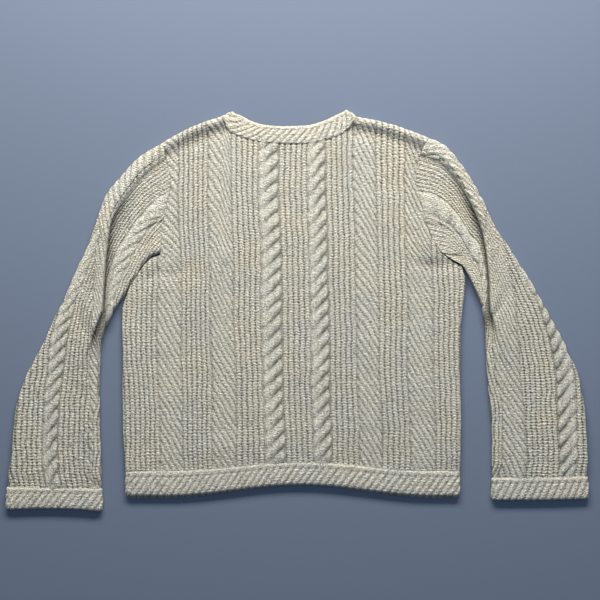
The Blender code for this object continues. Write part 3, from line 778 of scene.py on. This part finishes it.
def make_body(name, neck, across, up, is_back):
    """A body panel's shell: a ruled patch with bent sides, its knitting raised on one face.

    The knitting's face rounds away at the folds, and the other face is plain and flat.
    """
    left, right, bottom, top = body_edges(neck)
    u_knots, v_knots = along(top), (along(left) + along(right)) / 2
    corner = len(SHOULDER_SHARES) - 1
    ends = np.linspace(0, u_knots[corner], 12), np.linspace(u_knots[-1 - corner], 1, 12)
    shoulders = [finely(top, u_knots, end) for end in ends]
    low_left, low_right = left[: len(SIDE_SHARES)], right[: len(SIDE_SHARES)]
    rim = FOLD_ROUND * 1.3 / (HEM_RIGHT - HEM_LEFT)
    inner = np.linspace(rim, 1 - rim, across - 8)
    edge = rim * np.array([0, 0.12, 0.35, 0.65])
    u_at = np.concatenate([edge, inner, (1 - edge)[::-1]])
    v_at = np.linspace(0, 1, up)
    top, bottom = finely(top, u_knots, u_at), finely(bottom, u_knots, u_at)
    left, right = finely(left, v_knots, v_at), finely(right, v_knots, v_at)
    u, v = u_at[None, :, None], v_at[:, None, None]
    plan = (1 - v) * bottom[None] + v * top[None]
    left_gap, right_gap = left[:, None] - plan[:, :1], right[:, None] - plan[:, -1:]
    plan = plan + left_gap * (1 - u) ** SIDE_REACH + right_gap * u**SIDE_REACH
    x, y = plan[..., 0], plan[..., 1]
    side_off = np.minimum(distance_to(plan, low_left), distance_to(plan, low_right))
    shoulder_off = np.minimum(*(distance_to(plan, line) for line in shoulders))
    inset = np.clip(np.minimum(side_off, shoulder_off) / FOLD_ROUND, 0, 1)
    full = EDGE_LEFT + (1 - EDGE_LEFT) * np.sqrt(1 - (1 - inset) ** 2)
    t = v[..., 0] * (up - 1) / 2 * ROW * np.ones_like(x)
    t = t + 0.9 * wander(x, y, 26.0, 11)
    s = x + BODY_LEAN * (y + 60) + 1.8 * wander(x, y, 190.0, 3) + 0.8 * wander(x, y, 29.0, 13)
    if is_back:
        height, hollow, stitch, wale, smooth = knit(BODY_COLUMNS, s, t)
        ridge, trough = (
            tall * bell(shoulder_off, reach, middle)
            for tall, middle, reach in (SHOULDER_RIDGE, SHOULDER_TROUGH)
        )
        swell = swells(x, y)
        lift = swell + ridge - trough + 0.5 * wander(x, y, 60.0, 9)
        neck_off = distance_to(plan, moved_in(neck[:, 2:4], 1))
        # Painted shade in the shoulder troughs and the back's deeper troughs, and a painted
        # contact shadow along the neckband's seam.
        shade = 0.10 * trough + 0.17 * np.maximum(-swell - 0.4, 0)
        hollow = np.clip(hollow + shade + 0.55 * bell(neck_off, 2.6), 0, 1)
        height = height * (0.35 + 0.65 * ease((y - hem_seam(x)) / RELIEF_FADE))
        face = LAYER + WALL * full + lift + (height - 0.1) * np.clip(inset * 1.4, 0.35, 1)
        other = np.full_like(x, LAYER)
    else:
        height, hollow, _, wale, _ = rib((s - BODY_COLUMNS[0][1]) / WALE, t)
        stitch, smooth = np.ones_like(x), np.zeros_like(x)
        face = np.maximum(WALL * (1 - full) + 0.45 * (0.9 - height), 0.0)
        other = np.full_like(x, WALL)
    rows, columns = x.shape
    verts = np.stack([x, y, face], axis=-1).reshape(-1, 3)
    border = np.concatenate([
        np.arange(columns), np.arange(1, rows) * columns + columns - 1,
        (rows - 1) * columns + np.arange(columns - 2, -1, -1),
        np.arange(rows - 2, 0, -1) * columns,
    ])
    rim_verts = verts[border].copy()
    rim_verts[:, 2] = other.ravel()[border]
    ring = np.arange(len(border)) + len(verts)
    faces = grid_faces(rows, columns)
    after, ring_after = np.roll(border, -1), np.roll(ring, -1)
    walls = np.stack([border, ring, ring_after, after], axis=1)
    flat = ring[::-1]
    if not is_back:
        faces, walls, flat = faces[:, ::-1], walls[:, ::-1], ring
    uv = np.stack([wale, t / ROW], axis=-1).reshape(-1, 2)
    lay = np.stack([stitch, hollow, smooth], axis=-1).reshape(-1, 3)
    uv, lay = np.concatenate([uv, uv[border]]), np.concatenate([lay, lay[border]])
    verts = np.concatenate([verts, rim_verts])
    return mesh_of(name, verts, np.concatenate([faces, walls]), [flat], uv, lay)


# -------- bands


def band_loop(back, front):
    """Rows round a band's loop, with each row's level and how far it leans out in plan.

    The level is 1 on top and -1 below. At each end it swings from one to the other as the
    cosine of a half turn, and the lean is the sine of it.
    """
    def straight(rows, level):
        middle = (rows[:, 0:2] + rows[:, 2:4]) / 2
        count = max(int(steps_of(middle).sum() / BAND_MESH), 8)
        share = np.linspace(0, 1, count, endpoint=False)
        fine = np.column_stack([np.interp(share, along(middle), values) for values in rows.T])
        return np.column_stack([fine, np.full(len(fine), level), np.zeros((len(fine), 2))])

    def turn(row, after, way):
        edge = row[2:4] - row[0:2]
        out = np.array([-edge[1], edge[0]]) / np.linalg.norm(edge)
        out = -out if out[0] * way < 0 else out
        count = max(int(math.pi * BAND_HEIGHT / 2 / BAND_MESH), 6)
        share = np.arange(count)[:, None] / count
        angle = math.pi * share
        return np.column_stack(
            [row * (1 - share) + after * share, np.cos(angle) * way, np.sin(angle) * out]
        )

    loop = np.concatenate([
        straight(back, 1.0), turn(back[-1], front[0], 1),
        straight(front, -1.0), turn(front[-1], back[0], -1),
    ])
    return loop[:, 0:2], loop[:, 2:4], loop[:, 4], loop[:, 5:7]


def make_band(name, back, front, front_wall, sewn, steep):
    """A band's shell: a rounded section carried round the loop of its rows.

    Each section is a flat oval from the upper edge to the lower one. Its outer face carries
    rope ridges with painted shade between them, and its inner face is plain and painted in
    shade. The sewn edge, 0 for the upper one and 2 for the lower, tucks in under the end of
    the piece it is sewn to.
    """
    back, front = np.array(back, float), np.array(front, float)[::-1]
    for rows in (back, front):
        run = rows[:, sewn : sewn + 2] - rows[:, 2 - sewn : 4 - sewn]
        rows[:, sewn : sewn + 2] += unit(run) * TUCK
    low, high, level, lean = band_loop(back, front)
    half = BAND_HEIGHT / 2
    middle = np.column_stack([(low + high) / 2 + half * lean, half * level])
    arc = distances(middle)[:, None]
    depth = np.linalg.norm(high - low, axis=1)[:, None]
    level = level[:, None]
    thick = BAND_WALL + (front_wall - BAND_WALL) * (1 - level) / 2

    outward, plain = np.linspace(0, 1, BAND_CELLS), np.array([0.85, 0.5, 0.15])
    off_middle = np.abs(2 * outward - 1) ** np.where((outward > 0.5) == (sewn > 0), 12, 4)
    rounding = np.sqrt(np.clip(1 - off_middle, 0, 1))
    share = np.concatenate([outward, plain])
    raised, hollow, stitch, ridges = rope(arc, depth * (1 - outward), depth, steep)
    quiet = np.where(level > -0.5, 1.0, 0.25)
    face = half - 1.0 + (1.0 + raised * quiet) * rounding - (1 - rounding) * thick * 0.45
    radius = np.column_stack([face, np.tile(half - thick, len(plain))])
    plan = low[:, None] + share[:, None] * (high - low)[:, None]
    plan = plan + radius[..., None] * lean[:, None]
    z = np.maximum(half + radius * level, 0.0)
    points = np.concatenate([plan, z[..., None]], axis=-1).reshape(-1, 3)

    inside = np.zeros((len(arc), len(plain)))
    knit_uv = np.stack([np.column_stack([ridges, inside]), share * depth / ROW], axis=-1)
    # The rope's hollow is painted shade, and the plain inner face is painted in shade too.
    lay = np.stack([
        np.column_stack([stitch, inside]), np.column_stack([hollow, inside + 0.5]),
        np.full(radius.shape, 0.25),
    ], axis=-1)
    quads = grid_faces(len(arc) + 1, len(share), wrap=True) % len(points)
    return mesh_of(name, points, quads, [], knit_uv.reshape(-1, 2), lay.reshape(-1, 3))


def hem_rows(low_y, low_arch, count=41):
    """Rows of the hem band from left to right, seam edge first."""
    x = np.linspace(HEM_LEFT + BAND_HEIGHT / 2, HEM_RIGHT - BAND_HEIGHT / 2, count)
    return np.column_stack([x, hem_seam(x), x, low_y + low_arch * arch(x)])


def cuff_rows(rows, side, cuff, count=17):
    """Rows of a cuff across the end of its sleeve, seam edge first."""
    depth, hollow = cuff
    outer, inner = np.array(rows[-1][0:2], float), np.array(rows[-1][2:4], float)
    width = float(np.linalg.norm(inner - outer))
    across = (inner - outer) / width
    down = np.array([across[1], -across[0]]) * WAY[side]
    end = BAND_HEIGHT / 2 / width
    share = np.linspace(end, 1 - end, count)
    top = outer + np.outer(share * width, across) + down * SEAM
    low = top + np.outer(depth - SEAM - hollow * np.sin(math.pi * share), down)
    low += np.outer((share - 0.5) * 2 * CUFF_FLARE, across)
    rows = np.column_stack([top, low])
    return rows if side == "left" else rows[::-1]


def neck_rows(table, count=11):
    """The neckband's rows along one side, evenly spaced on its sewn edge."""
    return resample(table, np.linspace(0, 1, count), measured=slice(2, 4))


# -------- materials


def linear(hex_colour):
    """An sRGB hex colour as linear RGBA."""
    parts = [int(hex_colour[i : i + 2], 16) / 255 for i in (1, 3, 5)]
    low = [c / 12.92 if c <= 0.04045 else ((c + 0.055) / 1.055) ** 2.4 for c in parts]
    return (*low, 1.0)


def add(tree, kind, settings=None, **links):
    """A node with its settings and links: _0 and in_0 mean the socket numbered 0."""
    made = tree.nodes.new(kind)
    for key, value in (settings or {}).items():
        if key.startswith("in_"):
            made.inputs[int(key[3:])].default_value = value
        else:
            setattr(made, key, value)
    for key, source in links.items():
        socket = made.inputs[int(key[1:])] if key[1:].isdigit() else made.inputs[key]
        tree.links.new(source.outputs[0] if hasattr(source, "outputs") else source, socket)
    return made


FIBRE_TIP_AND_HIGHLIGHT = "#fffbf2"


def marled_wool(name, warm, cool, fleck, gap_shade, stitch_shade):
    """Felted, marled wool: soft and matt with a haze of fibre, so no glint and a light sheen.

    Its marl is fine flecks of grey and fawn over slow patches of warmer and cooler cream. Shade
    is painted in the gaps between stitches and wherever the lay attribute's hollow asks for it,
    and a highlight is painted on each stitch's crest.
    """
    material = bpy.data.materials.new(name)
    material.use_nodes = True
    tree = material.node_tree
    tree.nodes.clear()
    math_node, mix_node = "ShaderNodeMath", "ShaderNodeMix"
    noise_node, range_node = "ShaderNodeTexNoise", "ShaderNodeMapRange"
    place = add(tree, "ShaderNodeTexCoord").outputs["Object"]
    lay = add(tree, "ShaderNodeAttribute", {"attribute_name": "lay"}).outputs["Color"]
    stitch, hollow, smooth = add(tree, "ShaderNodeSeparateColor", _0=lay).outputs

    # Stitches of hand-spun yarn are never quite where they should be.
    even = add(tree, "ShaderNodeUVMap", {"uv_map": "knit"})
    jitter = add(tree, noise_node, {"normalize": False, "in_2": 1 / (6 * MM), "in_3": 1.0},
                 Vector=place).outputs["Color"]
    uneven = add(tree, "ShaderNodeVectorMath",
                 {"operation": "MULTIPLY_ADD", "in_1": (0.12, 0.25, 0.0)}, _0=jitter, _2=even)
    wale, row, _ = add(tree, "ShaderNodeSeparateXYZ", _0=uneven).outputs

    # Painted shade: the valley beside each wale, and the gap between rows, bent into a V across
    # the wale.
    ridge = add(tree, math_node, {"operation": "PINGPONG", "in_1": 0.5}, _0=wale)
    valley = add(tree, range_node, {"in_2": 0.24, "in_3": 1.0, "in_4": 0.0}, _0=ridge)
    bent = add(tree, math_node, {"operation": "MULTIPLY_ADD", "in_1": -0.7}, _0=ridge, _2=row)
    bead = add(tree, math_node, {"operation": "PINGPONG", "in_1": 0.5}, _0=bent)
    between = add(tree, range_node, {"in_2": 0.26, "in_3": 1.0, "in_4": 0.0}, _0=bead)
    pit = add(tree, math_node, {"operation": "MULTIPLY_ADD", "in_1": 0.85, "in_2": 0.22},
              _0=between)
    pits = add(tree, math_node, {"operation": "MULTIPLY"}, _0=valley, _1=pit)
    gaps = add(tree, math_node, {"operation": "MULTIPLY_ADD", "in_1": 0.40}, _0=between, _2=pits)
    knitted = add(tree, math_node, {"operation": "MULTIPLY"}, _0=gaps, _1=stitch)
    dark = add(tree, math_node,
               {"operation": "MULTIPLY_ADD", "in_1": stitch_shade, "use_clamp": True},
               _0=knitted, _2=hollow)

    # Slow patches of warmer and cooler wool, then the marl's flecks, then pale fibre tips together
    # with a painted highlight on each stitch's crest.
    slow = add(tree, noise_node, {"in_2": 1 / (58 * MM), "in_3": 3.0}, Vector=place)
    patch = add(tree, range_node, {"in_1": 0.34, "in_2": 0.66}, _0=slow)
    spots = add(tree, noise_node, {"in_2": 1 / (2.9 * MM), "in_3": 3.0, "in_4": 0.7},
                Vector=place)
    marl = add(tree, range_node, {"in_1": 0.45, "in_2": 0.66, "in_4": 0.8}, _0=spots)
    tips = add(tree, noise_node, {"in_2": 1 / (1.9 * MM), "in_3": 2.0}, Vector=place)
    crest_highlight = add(tree, math_node, {"operation": "MULTIPLY"}, _0=ridge, _1=bead)
    crown = add(tree, math_node, {"operation": "MULTIPLY_ADD", "in_1": 0.45}, _0=crest_highlight, _2=tips)
    fine = add(tree, range_node, {"in_1": 0.46, "in_2": 0.66, "in_4": 0.9}, _0=crown)
    felted = add(tree, math_node, {"operation": "MULTIPLY", "in_1": 0.5}, _0=smooth)
    colour = add(tree, mix_node, {"data_type": "RGBA", "in_6": linear(warm), "in_7": linear(cool)},
                 _0=patch).outputs[2]
    for share, tint in ((felted, cool), (marl, fleck), (fine, FIBRE_TIP_AND_HIGHLIGHT), (dark, gap_shade)):
        colour = add(tree, mix_node, {"data_type": "RGBA", "in_7": linear(tint)},
                     _0=share, _6=colour).outputs[2]

    # Fibre stands up on the wool, and each stitch is a little mound.
    yarn = add(tree, math_node, {"operation": "MULTIPLY"}, _0=bead, _1=stitch)
    mound = add(tree, math_node, {"operation": "MULTIPLY_ADD", "in_1": 0.9}, _0=fine, _2=yarn)
    relief = add(tree, math_node, {"operation": "MULTIPLY_ADD", "in_1": -0.7}, _0=marl, _2=mound)
    bump = add(tree, "ShaderNodeBump", {"in_0": 1.0, "in_1": 0.0016}, Height=relief)
    shader = add(tree, "ShaderNodeBsdfPrincipled", _0=colour, Normal=bump)
    shader.inputs["Roughness"].default_value = 0.96
    shader.inputs["Specular IOR Level"].default_value = 0.15
    shader.inputs["Sheen Weight"].default_value = 0.20
    shader.inputs["Sheen Roughness"].default_value = 0.6
    shader.inputs["Sheen Tint"].default_value = linear("#f2efe2")
    add(tree, "ShaderNodeOutputMaterial", Surface=shader)
    return material


def paper(name, colour):
    """Seamless paper: matt and even."""
    material = bpy.data.materials.new(name)
    material.use_nodes = True
    shader = material.node_tree.nodes["Principled BSDF"]
    shader.inputs["Base Color"].default_value = linear(colour)
    shader.inputs["Roughness"].default_value = 0.9
    shader.inputs["Specular IOR Level"].default_value = 0.2
    return material


# -------- making

# Each wool's colours are warm, cool, fleck and the painted shade of its gaps, then how strongly
# the stitches' shade is painted.
body_wool = marled_wool("felted_marled_wool", "#e6dec6", "#d6d9d2", "#868070", "#2b2619", 0.95)
band_wool = marled_wool("firm_knit_wool", "#e8e1cd", "#dadcd5", "#8b8675", "#2f2a1d", 0.85)

back = make_body("back_panel", neck_rows(BACK_NECK), 396, 237, True)
front = make_body("front_panel", neck_rows(FRONT_NECK), 180, 121, False)
left = make_sleeve("left_sleeve", LEFT_SLEEVE, "left", 330)
right = make_sleeve("right_sleeve", RIGHT_SLEEVE, "right", 330)
neckband = make_band(
    "neckband_rope", neck_rows(BACK_NECK, 41), neck_rows(FRONT_NECK, 41), WALL, 2, 1.15
)
hem = make_band(
    "hem_rope", hem_rows(BACK_HEM_Y, BACK_ARCH), hem_rows(FRONT_HEM_Y, FRONT_ARCH), BAND_WALL,
    0, 1.45,
)
left_rows = cuff_rows(LEFT_SLEEVE, "left", LEFT_CUFF)
right_rows = cuff_rows(RIGHT_SLEEVE, "right", RIGHT_CUFF)
left_cuff = make_band("left_cuff_rope", left_rows, left_rows, BAND_WALL, 0, 1.35)
right_cuff = make_band("right_cuff_rope", right_rows, right_rows, BAND_WALL, 0, 2.1)

# What each piece stands for, its slot, its cut's width and length, and that cut's area.
PIECES = (
    (back, "back", "wool_knit", (0.482, 0.50), 0.214, ["front"]),
    (front, "front", "wool_knit", (0.482, 0.50), 0.208, ["floor"]),
    (left, "sleeve_left", "wool_knit", (0.31, 0.44), 0.120, ["floor"]),
    (right, "sleeve_right", "wool_knit", (0.34, 0.44), 0.128, ["floor"]),
    (neckband, "neckband", "wool_band", (0.024, 0.44), None, ["front"]),
    (hem, "hem_band", "wool_band", (0.034, 0.95), None, ["floor"]),
    (left_cuff, "cuff_left", "wool_band", (0.031, 0.277), None, ["floor"]),
    (right_cuff, "cuff_right", "wool_band", (0.030, 0.275), None, ["floor"]),
)
bpy.ops.mesh.primitive_plane_add(size=12.0, location=(0, 0, 0))
floor = bpy.context.object
floor.name = "floor"
floor.data.materials.append(paper("pale_paper", "#6a768b"))

for piece, node, slot, flat, area, under in PIECES:
    piece.data.materials.append(body_wool if slot == "wool_knit" else band_wool)
    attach(piece, "root")
    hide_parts(node)


def soft_light(name, place, size, power, colour):
    """An area light, of a width and a height, that faces the sweater."""
    data = bpy.data.lights.new(name, "AREA")
    data.shape, data.energy, data.color = "RECTANGLE", power, colour
    data.size, data.size_y = size
    lamp = bpy.data.objects.new(name, data)
    lamp.location = place
    lamp.rotation_euler = Vector(place).to_track_quat("Z", "Y").to_euler()
    bpy.context.scene.collection.objects.link(lamp)


soft_light("window", (0.0, 1.36, 0.83), (1.5, 0.40), 52.5, (1.0, 0.945, 0.85))
soft_light("fill", (0.2, 0.0, 1.9), (1.8, 1.4), 8.0, (0.62, 0.80, 1.0))
world = bpy.data.worlds.new("studio")
world.use_nodes = True
sky = world.node_tree.nodes["Background"]
sky.inputs["Color"].default_value = (0.68, 0.82, 1.0, 1.0)
sky.inputs["Strength"].default_value = 0.115
bpy.context.scene.world = world
bpy.context.scene.view_settings.view_transform = "Standard"

VIEW_CENTRE = (0.0045, 0.0178)
VIEW_WIDTH, VIEW_HEIGHT, SENSOR = 0.852, 1.5, 36.0
camera_data = bpy.data.cameras.new("camera")
camera_data.sensor_width = SENSOR
camera_data.lens = SENSOR * VIEW_HEIGHT / VIEW_WIDTH
camera = bpy.data.objects.new("camera", camera_data)
camera.location = (*VIEW_CENTRE, VIEW_HEIGHT + 0.008)
bpy.context.scene.collection.objects.link(camera)
bpy.context.scene.camera = camera
